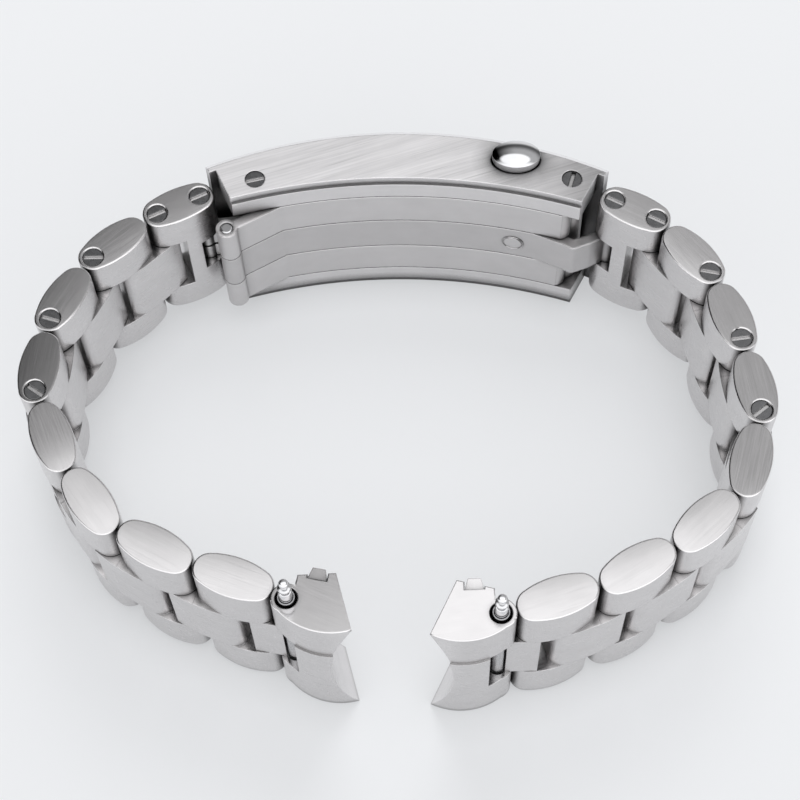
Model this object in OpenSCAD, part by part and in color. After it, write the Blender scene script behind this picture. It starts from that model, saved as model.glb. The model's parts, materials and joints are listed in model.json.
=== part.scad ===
// Three-row steel watch bracelet with a folding clasp and two push-buttons.
// It stands on its side edge, so every hinge is vertical, with the clasp behind and the end links in front.
// Plan sizes of the clasp start at the middle of the cover's inner lip, and y points away from the wrist.

/* [Links] */
// Distance between neighbouring hinge pins
pitch = 8; // [7.9:0.05:8.6]
// Width across the end links, which is the lug width of the watch
lug_w = 20; // [19:0.5:22]
// Width across the links that join the clasp
clasp_link_w = 16; // [15:0.5:18]
// Width of the centre row
centre_w = 8.2; // [7.4:0.2:9]
// Thickness of a link through its middle
link_t = 4; // [3.6:0.1:4.6]
// Radius of the round ends of a side piece
side_tip_r = 1.6; // [1.4:0.05:1.7]
// Distance from a hinge pin to the far tip of the side piece that holds it
pin_to_tip = 1.45; // [1.35:0.05:1.6]
// Gap between the tips of two side pieces
tip_gap = 0.2; // [0.12:0.02:0.4]
// Distance from a hinge pin to the flat near end of the centre piece round it
near_l = 1; // [0.9:0.05:1.2]
// Thickness of the centre piece at its flat near end
near_t = 3; // [2.6:0.1:3.2]
// Radius of the rounded far corners of a centre piece
far_corner_r = 1.2; // [0.6:0.1:1.4]
// Place of the thickest part of a centre piece beyond its middle
centre_shift = 0.95; // [0.6:0.05:1.2]
// Distance from the side pieces' tips to where a centre piece takes its full width
shoulder_gap = 0.05; // [0.03:0.01:0.1]
// Gap round the turning near end of a centre piece
knuckle_gap = 0.12; // [0.08:0.02:0.3]
// Gap between a turning centre piece and the side pieces beside it
row_gap = 0.08; // [0.05:0.01:0.15]

/* [Resting shape] */
// Angle of the links at the clasp to the line of the clasp
first_angle = 28; // [20:1:34]
// Bend at each hinge of the left half, from the clasp to the end link
left_bend = [14, 22, 22, 28, 13, 25, 9, 9]; // [0:1:32]
// Bend at each hinge of the right half, from the clasp to the end link
right_bend = [23, 20, 9, 24, 31, 13, 12, 18]; // [0:1:32]
// Sideways place of the clasp's middle
clasp_x = 0.6; // [-2:0.1:3]
// Distance from the origin back to the inner lip of the clasp
clasp_y = 21.3; // [18:0.1:24]

/* [Pins and screws] */
// Diameter of the hinge pins and of the screws' shanks
pin_d = 1.2; // [1:0.05:1.3]
// Diameter of the slotted heads
head_d = 2; // [1.8:0.1:2.2]
// Height of a slotted head
head_h = 0.8; // [0.6:0.1:1.2]
// Depth of a head below the face round it
head_sunk = 0.12; // [0.05:0.01:0.3]
// Width of the screwdriver slot
slot_w = 0.4; // [0.3:0.05:0.5]
// Depth of the screwdriver slot
slot_depth = 0.35; // [0.2:0.05:0.5]
// Metal left between a blind pin hole and the outside
blind_wall = 1.1; // [0.8:0.1:1.6]
// Room left beyond the end of a pin in its blind hole
end_room = 0.2; // [0.1:0.05:0.4]
// Clearance round a pin where it is held
held_gap = 0.01; // [0.005:0.005:0.02]
// Clearance round a pin where a piece turns on it
turn_gap = 0.03; // [0.02:0.005:0.08]

/* [Clasp links] */
// Distance between the two screws of a clasp link
clasp_link_pitch = 4.66; // [4.5:0.02:5.2]
// Radius of the round ends of a clasp link
clasp_link_tip_r = 1.75; // [1.5:0.05:1.8]
// Distance from the cover's end to the first screw of a clasp link
joint_out = 0.6; // [0.5:0.1:1.5]
// Distance from the lip line to that screw, positive outward
joint_y = -0.8; // [-1.2:0.1:-0.4]
// Width of the tongue and of the hook that enter the clasp links
tongue_w = 4.8; // [4:0.1:5.4]
// Distance between the two screws of the tongue
tongue_l = 5.8; // [5.4:0.1:6.2]
// Width of the groove round the tongue's eye
groove_w = 0.4; // [0.3:0.05:0.5]
// Depth of that groove
groove_depth = 0.3; // [0.2:0.05:0.35]
// Thickness of the tongue between its eyes
tongue_t = 1.5; // [1.2:0.1:1.8]
// Radius of the eyes of the tongue and of the hook
eye_r = 1.05; // [0.95:0.05:1.3]

/* [Clasp cover] */
// Width of the cover, across both side walls
cover_w = 20; // [19:0.5:22]
// Length of the cover along its outer face
cover_l = 40.8; // [39.6:0.2:42]
// Distance of the side walls' ends behind the plate's ends
wall_in = 2.95; // [2.6:0.05:3.3]
// Depth of a side wall at the middle of the cover
cover_depth = 6.3; // [6:0.1:7]
// Radius of the cover's outer face
cover_r = 48.6; // [44:0.2:54]
// Radius of the inner lip of the side walls
lip_r = 58.8; // [54:0.2:64]
// Thickness of the curved plate
plate_t = 1.3; // [1:0.1:1.5]
// Thickness of a side wall
wall_t = 3; // [2.8:0.1:3.2]
// Sideways lean of the plate's ends for each mm outward
plate_lean = 0.46; // [0.3:0.02:0.6]
// Sideways lean of the side walls' ends for each mm outward
wall_lean = 0.5; // [0.3:0.02:0.7]
// Width of the bevel along the outer edges
cover_bevel = 0.8; // [0.4:0.1:1]
// Height of the step along the lip
lip_step = 0.25; // [0.1:0.05:0.4]
// Width of the upper band of the lip, above the step
lip_band = 0.9; // [0.6:0.1:1.2]
// Outward place of the screw that holds the tongue
tongue_y = -0.1; // [-0.2:0.05:0.3]
// Distance from the right clasp link's first screw in to the pivot screw of the fork blade
pivot_in = 4.4; // [4:0.1:5]
// Outward place of the screw that holds the fork blade
pivot_y = 0.3; // [0:0.1:0.6]

/* [Folding blades] */
// Thickness of the blades
blade_t = 1.1; // [1:0.1:1.3]
// Gap between blades that lie side by side
blade_gap = 0.1; // [0.06:0.02:0.2]
// Distance from the tongue's far screw in to the hinge between the two blades
fold_in = 2.9; // [2.4:0.1:3.4]
// Distance from that hinge to where the blades take the line of the lip
fold_arm = 5.1; // [4.6:0.1:5.6]
// Radius of the rounded corner at the end of an ear
corner_r = 1; // [0.8:0.1:1.2]
// Distance by which the outer blade's ears pass the pivot screw
ear_out = 0.2; // [0.1:0.1:0.4]
// Distance from the hook's eye to where the hook leaves the line of the lip
hook_l = 7.8; // [7.4:0.1:8.2]
// Distance from the hook's eye to the lowest place of the hook
hook_dip_x = 3.8; // [3.4:0.1:4.2]
// Inward place of the hook's middle line there
hook_dip_y = -2.7; // [-2.9:0.1:-2.4]
// Inward place of the hinge between the two blades from the lip line
fold_y = -4; // [-4.4:0.1:-3.6]
// Radius of the knuckles of that hinge
knuckle_r = 1.1; // [1:0.05:1.3]
// Diameter of that hinge's pin
fold_pin_d = 1.3; // [1:0.05:1.4]
// Height of that pin's upper end above the outer blade
pin_out = 0.05; // [0:0.01:0.08]
// Depth of that pin's lower end in the outer blade
pin_sunk = 0.1; // [0.05:0.05:0.3]
// Width of the outer blade's ears at the pivot
ear_w = 2.2; // [2:0.1:2.6]
// Radius of the fork's boss on its pivot screw
boss_r = 1.5; // [1.3:0.05:1.6]

/* [Buttons and catch] */
// Sideways place of the buttons and of the catch
catch_x = 11; // [10.6:0.1:11.4]
// Outward place of the buttons
button_y = 1.9; // [1.8:0.05:2]
// Diameter of a button
button_d = 4.4; // [4:0.1:4.5]
// Height of a button's dome above the side wall
dome_h = 1.5; // [1.2:0.1:2]
// Radius of a button's dome
dome_r = 2.8; // [2.6:0.1:4]
// Gap round a button
button_gap = 0.1; // [0.06:0.02:0.2]
// Travel of a button
button_travel = 1; // [0.6:0.1:1.1]
// Diameter of the stud's shank
stud_d = 1.4; // [1.2:0.1:1.6]
// Diameter of the stud's head
stud_head_d = 2.2; // [2:0.1:2.4]
// Thickness of the stud's head
stud_head_t = 0.7; // [0.5:0.1:0.8]
// Height of the riveted end inside the blade
stud_out = 0.35; // [0.2:0.05:0.4]
// Outward place of the top of the stud's head
stud_top = 2.5; // [2.2:0.1:2.6]
// Gap between a catch hook and the rim of the stud's head
catch_gap = 0.06; // [0.04:0.01:0.1]
// Gap between a hook's arm and the stud's head
arm_gap = 0.25; // [0.2:0.05:0.3]
// Thickness of a catch hook
hook_t = 0.8; // [0.6:0.1:1]
// Depth of a catch hook
hook_d = 1.4; // [1.2:0.1:1.5]
// Outward place of the inner face of the hooks
hook_y = 1; // [0.9:0.1:1.2]
// Gap between a button's flange and the side wall
flange_gap = 0.1; // [0.06:0.02:0.2]
// Thickness of a button's flange
flange_t = 0.5; // [0.4:0.1:0.7]
// Outward place of the flange's inner edge
flange_y = 1; // [0.9:0.1:1.1]
// Depth of a button's flange
flange_d = 1.5; // [1.4:0.1:1.6]
// Diameter of a button's neck
neck_d = 2.2; // [1.8:0.1:2.4]
// Half width of the bracket that guides the hooks
guide_x = 3.3; // [3.1:0.1:3.4]
// Half height of that bracket
guide_h = 4.6; // [4.2:0.1:4.9]
// Thickness of the bracket's legs
guide_t = 1; // [0.8:0.1:1.1]
// Outward place of a button's spring
spring_y = 1.6; // [1.4:0.1:1.8]
// Radius of a button spring's coil
spring_r = 0.36; // [0.3:0.02:0.4]
// Radius of the spring wire
spring_wire = 0.09; // [0.07:0.01:0.1]

/* [End links] */
// Radius of the watch case that an end link fits
case_r = 22; // [18:0.5:25]
// Distance from the last hinge pin to the spring bar, along the end link
bar_x = 2.8; // [2.7:0.05:3.1]
// Outward distance from the last hinge pin to the spring bar
bar_y = 0.8; // [0.6:0.05:1]
// Radius of the lobe round the spring bar
lobe_r = 1.45; // [1.35:0.05:1.5]
// Radius of the end link's outer curve
end_curve_r = 6.5; // [6.3:0.1:7]
// Place of that curve's middle along the end link
end_curve_x = 6.2; // [6:0.1:6.6]
// Outward place of that curve's middle
end_curve_y = -3.05; // [-3.4:0.05:-2.8]
// Length from the last hinge pin to the outer tip of the horns
horn_l = 9.2; // [8.8:0.1:10]
// Outward place of that tip
case_out_y = 2.55; // [2.3:0.05:2.8]
// Place of the inner tip of the horns along the end link
case_in_x = 6.75; // [6.4:0.05:7]
// Outward place of the inner tip
case_in_y = -2.45; // [-2.7:0.05:-2.2]
// Outward place of the inner face beside the spring bar
end_in_y = -1.6; // [-1.9:0.1:-1.4]
// Place of the far end of the end link's tongue
tongue_far = 3.7; // [3.4:0.1:4]
// Place of the key along the end link
key_x = 5.1; // [4.9:0.05:5.3]
// Length of the key
key_l = 1.8; // [1.4:0.1:2]
// Outward place of the bottom of the key's groove
key_y = -1.5; // [-1.7:0.1:-1.3]
// Distance by which the key narrows toward its inner face at each side
key_side = 0.3; // [0.2:0.05:0.4]
// Height of the key's inner face beyond the inner tips of the horns
key_out = 0.2; // [0.1:0.05:0.3]
// Depth of the key's ends below the side faces
key_sunk = 0.3; // [0.2:0.1:0.6]
// Height of the centre row above the side pieces on an end link
centre_step = 0.2; // [0.1:0.05:0.3]

/* [Spring bars] */
// Diameter of a spring bar's tube
bar_d = 1.6; // [1.5:0.05:1.7]
// Diameter of the hole that it lies in
bar_hole_d = 2; // [1.9:0.05:2.1]
// Diameter of the knobs that enter the lugs
knob_d = 0.9; // [0.85:0.01:0.95]
// Length of a knob
knob_l = 0.6; // [0.5:0.05:0.8]
// Chamfer at the end of a knob
knob_bevel = 0.15; // [0.1:0.05:0.2]
// Diameter of the necks on both sides of a collar
neck_w = 0.56; // [0.5:0.02:0.58]
// Length of each neck
neck_l = 0.45; // [0.3:0.05:0.6]
// Diameter of the collar between the necks
collar_d = 1.24; // [1.22:0.02:1.4]
// Thickness of a collar
collar_t = 0.35; // [0.25:0.05:0.5]
// Length of tube missing at each end of the hole
tube_short = 1.6; // [1.5:0.1:2]
// Wall of a spring bar's tube
tube_wall = 0.14; // [0.12:0.01:0.16]
// Length of a nose's stem inside the tube
stem_l = 3; // [2:0.5:5]

/* [Hidden] */
$fn = 64;
eps = 0.01;
mid_z = cover_w / 2;
// Height of the links' lower edges above the lower button's dome
stand = dome_h;
link_count = 7;
screw_links = 3;
// Turn of each slot from the one before
slot_turn = 40;

// Height of the bracelet at place i of the chain: 0 is the clasp link, 8 is the end link
function width_at(i) = clasp_link_w + (lug_w - clasp_link_w) * i / (link_count + 1);

// Heading of the piece at place i, and the place of the pin at its far end
function bends(side) = side < 0 ? left_bend : right_bend;
function heading(side, i) = i == 0 ? -first_angle : heading(side, i - 1) - bends(side)[i - 1];
function along(a, l) = [l * cos(a), l * sin(a)];
function far_pin(side, i) = i == 0
    ? [joint_x, joint_y] + along(-first_angle, clasp_link_pitch)
    : far_pin(side, i - 1) + along(heading(side, i), pitch);

// Radius of an arc that rises by h over half a chord c
function arc_r(c, h) = (c * c + h * h) / (2 * h);
// Height of that arc above its chord's middle line at a distance x from the middle
function drop(r, x) = r - sqrt(r * r - x * x);

// Half lengths and places of the pieces of a link, measured from its near pin
side_near = pin_to_tip + tip_gap;
side_far = pitch + pin_to_tip;
side_half = (side_far - side_near) / 2;
side_mid = (side_far + side_near) / 2;
near_reach = norm([near_l, near_t / 2]);
centre_far = pitch - near_reach - knuckle_gap;
centre_mid = (centre_far - near_l) / 2 + centre_shift;
centre_r = arc_r(centre_mid + near_l, (link_t - near_t) / 2);
wide_from = side_near + shoulder_gap;

// Places in the clasp
cover_c = [0, cover_depth - cover_r];
lip_c = [0, -lip_r];
blade_r = lip_r + blade_t / 2;
joint_x = cover_l / 2 + joint_out;
tongue_x = tongue_l - joint_x;
pivot_x = joint_x - pivot_in;
fold_x = fold_in - joint_x;
bend_x = fold_x + fold_arm;
rail_end = pivot_x + ear_out;
hook_start = joint_x - hook_l;
lip_end = cover_l / 2 - wall_in;
inner_w = cover_w - 2 * wall_t - 2 * blade_gap;
rail_w = (inner_w - tongue_w - 2 * blade_gap) / 2;
rails_low = tongue_w / 2 + blade_gap;
rails_high = rails_low + rail_w;
case_lean = (horn_l - case_in_x) / (case_out_y - case_in_y);
case_depth = sqrt(case_r * case_r - lug_w * lug_w / 4);
nose_out = 2 * neck_l + collar_t + knob_l;
bar_half = lug_w / 2 - tube_short;
// The bars have dropped until their lower knobs are level with the links' lower edges
bar_z = mid_z + nose_out;
bar_bore_d = bar_d - 2 * tube_wall;

// Oval with round ends of radius tip, half length half_l and half thickness half_t
module oval(half_l, half_t, tip) {
    c = half_l - tip;
    big = (c * c + half_t * half_t - tip * tip) / (2 * (half_t - tip));
    seam = big * c / (big - tip);
    for (s = [-1, 1]) translate([s * c, 0]) circle(tip);
    intersection() {
        translate([0, big - half_t]) circle(big);
        translate([0, half_t - big]) circle(big);
        square([2 * seam, 4 * half_t], center = true);
    }
}

// Outline of a centre piece between x = from and x = centre_far, flat at its near end
module centre_outline(from) {
    corner_y = link_t / 2 - drop(centre_r, centre_far - far_corner_r - centre_mid) - far_corner_r;
    intersection() {
        translate([centre_mid, link_t / 2 - centre_r]) circle(centre_r, $fn = 128);
        translate([centre_mid, centre_r - link_t / 2]) circle(centre_r, $fn = 128);
        translate([from, -link_t]) square([centre_far - far_corner_r - from, 2 * link_t]);
    }
    for (s = [-1, 1]) translate([centre_far - far_corner_r, s * corner_y]) circle(far_corner_r);
    translate([centre_far - far_corner_r - eps, -corner_y]) square([far_corner_r + eps, 2 * corner_y]);
}

// Puts a shape of half height h, drawn from the middle plane up, on both sides of the middle plane
module slab(h) {
    translate([0, 0, mid_z - h]) linear_extrude(2 * h) children();
}

// The same shape in the upper and the lower row, between half heights low and high
module rows(low, high) {
    translate([0, 0, mid_z + low]) linear_extrude(high - low) children();
    translate([0, 0, mid_z - high]) linear_extrude(high - low) children();
}

module hole(d, z0, z1) {
    translate([0, 0, z0]) cylinder(h = z1 - z0, d = d);
}

// Frame of the clasp, mirrored for the left half
module clasp_frame(side = 1) {
    translate([clasp_x, clasp_y, stand]) mirror([side < 0 ? 1 : 0, 0, 0]) children();
}

// Frame of the piece at place i of a chain: x runs from its near pin to its far pin, y points outward
module chain_frame(side, i) {
    near = i == 0 ? [joint_x, joint_y] : far_pin(side, i - 1);
    clasp_frame(side) translate([near[0], near[1], 0]) rotate(heading(side, i)) children();
}

// Holes for the pin at the far end: a screw enters from above, a plain pin from below
module far_pin_holes(i) {
    top = mid_z + width_at(i) / 2;
    bottom = mid_z - width_at(i) / 2;
    held = pin_d + 2 * held_gap;
    if (i <= screw_links) {
        hole(held, bottom + blind_wall, top);
        hole(head_d + 2 * held_gap, top - head_sunk - head_h, top + 1);
    } else {
        hole(held, bottom - 1, top - blind_wall);
    }
}

// Screw or plain pin for the far end of the piece at place i
module far_pin_solid(i) {
    top = mid_z + width_at(i) / 2;
    bottom = mid_z - width_at(i) / 2;
    if (i <= screw_links) {
        slotted_screw(bottom + blind_wall + end_room, top - head_sunk, slot_turn * i);
    } else {
        hole(pin_d, bottom + head_sunk, top - blind_wall - end_room);
    }
}

// Screw whose shank starts at z0 and whose head ends at z1, with its slot turned by a
module slotted_screw(z0, z1, a) {
    difference() {
        union() {
            hole(pin_d, z0, z1 - head_h + eps);
            hole(head_d, z1 - head_h, z1);
        }
        rotate(a) translate([-head_d, -slot_w / 2, z1 - slot_depth]) cube([2 * head_d, slot_w, 1]);
    }
}

module link(side, i) {
    color([0.75, 0.75, 0.76]) chain_frame(side, i) difference() {
        union() {
            rows(centre_w / 2, width_at(i) / 2) translate([side_mid, 0])
                oval(side_half, link_t / 2, side_tip_r);
            slab(centre_w / 2) centre_outline(wide_from);
            slab(centre_w / 2 - row_gap) intersection() {
                centre_outline(-near_l);
                translate([-near_l, -link_t]) square([near_l + wide_from + eps, 2 * link_t]);
            }
        }
        hole(pin_d + 2 * turn_gap, 0, cover_w);
        translate([pitch, 0, 0]) far_pin_holes(i);
    }
}

module pin(side, i, x) {
    color([0.42, 0.42, 0.44]) chain_frame(side, i) translate([x, 0, 0]) far_pin_solid(i);
}

// Link next to the clasp: a slot for the tongue or the hook at one end, and for a centre piece at the other
module clasp_link(side) {
    half = clasp_link_pitch / 2 + pin_to_tip;
    slot_end = eye_r + knuckle_gap;
    far_end = clasp_link_pitch - near_reach - knuckle_gap;
    color([0.74, 0.74, 0.75]) chain_frame(side, 0) difference() {
        slab(clasp_link_w / 2) translate([clasp_link_pitch / 2, 0])
            oval(half, link_t / 2, clasp_link_tip_r);
        slab(tongue_w / 2 + row_gap) translate([-link_t, -link_t]) square([link_t + slot_end, 2 * link_t]);
        slab(centre_w / 2) translate([far_end, -link_t]) square([2 * link_t, 2 * link_t]);
        for (x = [0, clasp_link_pitch]) translate([x, 0, 0]) far_pin_holes(0);
    }
}

// Plan that keeps what lies between two slanted ends: they pass through [x, y] and lean outward by lean
module between_ends(x, y, lean) {
    high = cover_depth + 1;
    low = -cover_depth;
    polygon([[-x - lean * (high - y), high], [x + lean * (high - y), high],
             [x - lean * (y - low), low], [-x + lean * (y - low), low]]);
}

module cover_round(r, z0, z1) {
    translate([cover_c[0], cover_c[1], z0]) cylinder(h = z1 - z0, r = r, $fn = 180);
}

module clasp_cover() {
    outer_y = cover_c[1] + sqrt(cover_r * cover_r - cover_l * cover_l / 4);
    inner_y = lip_c[1] + sqrt(lip_r * lip_r - lip_end * lip_end);
    color([0.78, 0.78, 0.79]) clasp_frame() difference() {
        intersection() {
            translate([cover_c[0], cover_c[1], 0]) rotate_extrude($fn = 180)
                polygon([[0, 0], [cover_r - cover_bevel, 0], [cover_r, cover_bevel],
                         [cover_r, cover_w - cover_bevel], [cover_r - cover_bevel, cover_w], [0, cover_w]]);
            linear_extrude(cover_w) between_ends(cover_l / 2, outer_y, plate_lean);
        }
        translate([0, lip_c[1], -1]) cylinder(h = cover_w + 2, r = lip_r, $fn = 180);
        for (z = [[-1, lip_band], [cover_w - lip_band, cover_w + 1]])
            translate([0, lip_c[1], z[0]]) cylinder(h = z[1] - z[0], r = lip_r + lip_step, $fn = 180);
        cover_round(cover_r - plate_t, wall_t, cover_w - wall_t);
        difference() {
            cover_round(cover_r - plate_t, -1, cover_w + 1);
            translate([0, 0, -2]) linear_extrude(cover_w + 4) between_ends(lip_end, inner_y, wall_lean);
        }
        for (p = [[tongue_x, tongue_y], [pivot_x, pivot_y]]) translate([p[0], p[1], 0]) cover_screw_hole();
        translate([catch_x, button_y, 0]) {
            hole(button_d + 2 * button_gap, -1, wall_t + 1);
            hole(button_d + 2 * button_gap, cover_w - wall_t - 1, cover_w + 1);
        }
    }
}

module cover_screw_hole() {
    hole(pin_d + 2 * held_gap, blind_wall, cover_w);
    hole(head_d + 2 * held_gap, cover_w - head_sunk - head_h, cover_w + 1);
}

module cover_screw(x, y, a) {
    color([0.4, 0.4, 0.42]) clasp_frame() translate([x, y, 0])
        slotted_screw(blind_wall + end_room, cover_w - head_sunk, a);
}

// Curved blade whose inner face follows the lip from x0 to x1
module blade_outline(x0, x1) {
    intersection() {
        difference() {
            translate(lip_c) circle(lip_r + blade_t, $fn = 180);
            translate(lip_c) circle(lip_r, $fn = 180);
        }
        translate([x0, -cover_depth]) square([x1 - x0, 2 * cover_depth]);
    }
}

// Outward place of the blades' middle line
function blade_y(x) = sqrt(blade_r * blade_r - x * x) - lip_r;

// Straight bar of thickness t with round ends between two points
module bar(a, b, t) {
    d = b - a;
    translate(a) circle(d = t);
    translate(b) circle(d = t);
    translate(a) rotate(atan2(d[1], d[0])) translate([0, -t / 2]) square([norm(d), t]);
}

// Points of the inner blade's hook, bent toward the wrist and back to the clasp link
hook = [[hook_start, blade_y(hook_start)],
        [joint_x - (hook_l + 2 * hook_dip_x) / 3 + 0.4, hook_dip_y + 0.5],
        [joint_x - hook_dip_x, hook_dip_y],
        [joint_x - hook_dip_x * 0.6, hook_dip_y + 0.6],
        [joint_x, joint_y]];

// Outer blade: two rails that run beside the centre blade, joined by the boss on the pivot screw
module fork_blade() {
    corner_y = blade_y(rail_end - corner_r) - blade_t / 2 + corner_r;
    color([0.76, 0.76, 0.77]) clasp_frame() difference() {
        union() {
            rows(rails_low, rails_high) {
                blade_outline(bend_x, rail_end - corner_r);
                bar([bend_x, blade_y(bend_x)], [fold_x, fold_y], blade_t);
                translate([fold_x, fold_y]) circle(knuckle_r);
                difference() {
                    translate([rail_end - ear_w, -cover_depth])
                        square([ear_w - corner_r, cover_depth + pivot_y]);
                    translate(lip_c) circle(lip_r, $fn = 180);
                }
                translate([rail_end - corner_r, corner_y]) circle(corner_r);
                translate([rail_end - corner_r - eps, corner_y]) square([corner_r + eps, pivot_y - corner_y]);
            }
            slab(rails_high) translate([pivot_x, pivot_y]) circle(boss_r);
        }
        translate([pivot_x, pivot_y, 0]) hole(pin_d + 2 * turn_gap, 0, cover_w);
        translate([fold_x, fold_y, 0]) hole(fold_pin_d + 2 * held_gap, 0, cover_w);
    }
}

module fold_pin() {
    color([0.85, 0.85, 0.86]) clasp_frame() translate([fold_x, fold_y, 0])
        hole(fold_pin_d, mid_z - rails_high + pin_sunk, mid_z + rails_high + pin_out);
}

// Inner blade: the knuckle between the fork's knuckles, the curved strip and the hook to the clasp link
module centre_blade() {
    color([0.77, 0.77, 0.78]) clasp_frame() difference() {
        slab(tongue_w / 2) {
            blade_outline(bend_x, hook_start);
            bar([bend_x, blade_y(bend_x)], [fold_x, fold_y], blade_t);
            translate([fold_x, fold_y]) circle(knuckle_r);
            for (i = [1:len(hook) - 1]) bar(hook[i - 1], hook[i], blade_t);
            translate([joint_x, joint_y]) circle(eye_r);
        }
        translate([fold_x, fold_y, 0]) hole(fold_pin_d + 2 * turn_gap, 0, cover_w);
        translate([joint_x, joint_y, 0]) hole(pin_d + 2 * turn_gap, 0, cover_w);
        translate([catch_x, 0, mid_z]) rotate([90, 0, 0])
            cylinder(h = 12, d = stud_d + 2 * held_gap, center = true);
    }
}

// Stud riveted through the centre blade, with the head that the catch hooks hold
module catch_stud() {
    inner = blade_y(catch_x) - blade_t / 2 - stud_out;
    color([0.7, 0.7, 0.72]) clasp_frame() translate([catch_x, 0, mid_z]) rotate([-90, 0, 0]) {
        translate([0, 0, inner]) cylinder(h = stud_top - inner, d = stud_d);
        translate([0, 0, stud_top - stud_head_t]) cylinder(h = stud_head_t, d = stud_head_d);
    }
}

// Short link between the cover's screw and the left clasp link, with a groove round its outer eye
module tongue() {
    a = [tongue_x, tongue_y];
    b = [-joint_x, joint_y];
    color([0.7, 0.7, 0.71]) clasp_frame() difference() {
        slab(tongue_w / 2) {
            for (p = [a, b]) translate(p) circle(eye_r);
            bar(a, b, tongue_t);
        }
        for (p = [a, b]) translate([p[0], p[1], 0]) hole(pin_d + 2 * turn_gap, 0, cover_w);
        translate([b[0], b[1], mid_z - groove_w]) difference() {
            cylinder(h = groove_w, r = eye_r + tongue_t / 2);
            translate([0, 0, -1]) cylinder(h = groove_w + 2, r = eye_r - groove_depth);
        }
    }
}

// Bracket under the cover's plate that guides the two catch hooks and carries the springs of the buttons
module catch_frame() {
    color([0.6, 0.6, 0.62]) clasp_frame() difference() {
        intersection() {
            cover_round(cover_r - plate_t - held_gap, wall_t, cover_w - wall_t);
            translate([catch_x - guide_x, hook_y, mid_z - guide_h])
                cube([2 * guide_x, cover_depth, 2 * guide_h]);
        }
        translate([catch_x - guide_x + guide_t, -1, 0])
            cube([2 * (guide_x - guide_t), 1 + stud_top + held_gap + flange_gap, cover_w]);
    }
}

// Push-button with its inner flange and the hook that reaches round the far side of the stud's head
module button(flip) {
    wall_in = mid_z - wall_t;
    reach = stud_head_d / 2 + catch_gap;
    arm_x = stud_head_d / 2 + arm_gap;
    color([0.9, 0.9, 0.91]) clasp_frame() translate([catch_x, 0, mid_z]) mirror([0, 0, flip]) {
        translate([0, button_y, 0]) intersection() {
            translate([0, 0, wall_in + button_travel + flange_gap])
                cylinder(h = wall_t + dome_h, d = button_d);
            translate([0, 0, mid_z + dome_h - dome_r]) sphere(dome_r, $fn = 96);
        }
        translate([0, button_y, wall_in - flange_gap - eps]) cylinder(h = wall_t, d = neck_d);
        translate([-guide_x, flange_y, wall_in - flange_gap - flange_t])
            cube([2 * guide_x, flange_d, flange_t]);
        mirror([flip, 0, 0]) {
            translate([arm_x, hook_y, -reach - hook_t]) cube([hook_t, hook_d, wall_in + reach]);
            translate([-arm_x, hook_y, -reach - hook_t]) cube([2 * arm_x + eps, hook_d, hook_t]);
        }
    }
}

// Open coil: one tube of wire wound as a helix, its axis along z
function coil_point(r, rise, turns, t) = [r * cos(360 * turns * t), r * sin(360 * turns * t), rise * t];
module coil(r, rise, turns, wire) {
    n = turns * 8;
    sides = 5;
    ring = [for (i = [0:n]) for (k = [0:sides - 1])
        let (c = coil_point(r, rise, turns, i / n), a = 360 * turns * i / n, w = 360 * k / sides)
        c + [wire * cos(w) * cos(a), wire * cos(w) * sin(a), wire * sin(w)]];
    walls = [for (i = [0:n - 1]) for (k = [0:sides - 1])
        let (p = i * sides + k, q = i * sides + (k + 1) % sides)
        each [[p, p + sides, q], [q, p + sides, q + sides]]];
    caps = [for (k = [1:sides - 2]) each [[0, k, k + 1], [n * sides, n * sides + k + 1, n * sides + k]]];
    polyhedron(points = ring, faces = concat(walls, caps));
}

// Spring of a button, between the catch frame's leg and the button's flange
module button_spring(flip) {
    rise = mid_z - wall_t - flange_gap - flange_t - guide_h;
    color([0.65, 0.65, 0.68]) clasp_frame() translate([catch_x, 0, mid_z]) mirror([0, 0, flip])
        mirror([flip, 0, 0]) translate([-guide_x + guide_t / 2, spring_y, guide_h + spring_wire + held_gap])
            coil(spring_r, rise - 2 * (spring_wire + held_gap), 4, spring_wire);
}

// Plan of an end link's side piece: the lobe round the spring bar and the body that reaches the case
module end_side_outline() {
    translate([bar_x, bar_y]) circle(lobe_r);
    intersection() {
        translate([end_curve_x, end_curve_y]) circle(end_curve_r, $fn = 128);
        difference() {
            polygon([[bar_x + lobe_r / 3, bar_y - lobe_r / 2], [bar_x + lobe_r / 3, end_in_y],
                     [case_in_x, case_in_y], [case_in_x + case_lean * end_curve_r, case_in_y + end_curve_r],
                     [bar_x - lobe_r, end_curve_r], [bar_x - lobe_r, bar_y + lobe_r / 2]]);
            translate([key_x - key_l / 2, case_in_y - 1]) square([key_l, 1 + key_y - case_in_y]);
        }
    }
}

// Plan of the key that lies in the groove along an end link's inner face
module key_outline() {
    half = key_l / 2;
    polygon([[key_x - half - eps, key_y + eps], [key_x - half + key_side, case_in_y - key_out],
             [key_x + half - key_side, case_in_y - key_out], [key_x + half + eps, key_y + eps]]);
}

// Plan of an end link's centre piece
module end_centre_outline() {
    intersection() {
        translate([end_curve_x, end_curve_y]) circle(end_curve_r + centre_step, $fn = 128);
        polygon([[tongue_far, end_in_y], [case_in_x, case_in_y],
                 [case_in_x + case_lean * end_curve_r, case_in_y + end_curve_r],
                 [tongue_far, end_curve_r]]);
    }
}

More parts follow.
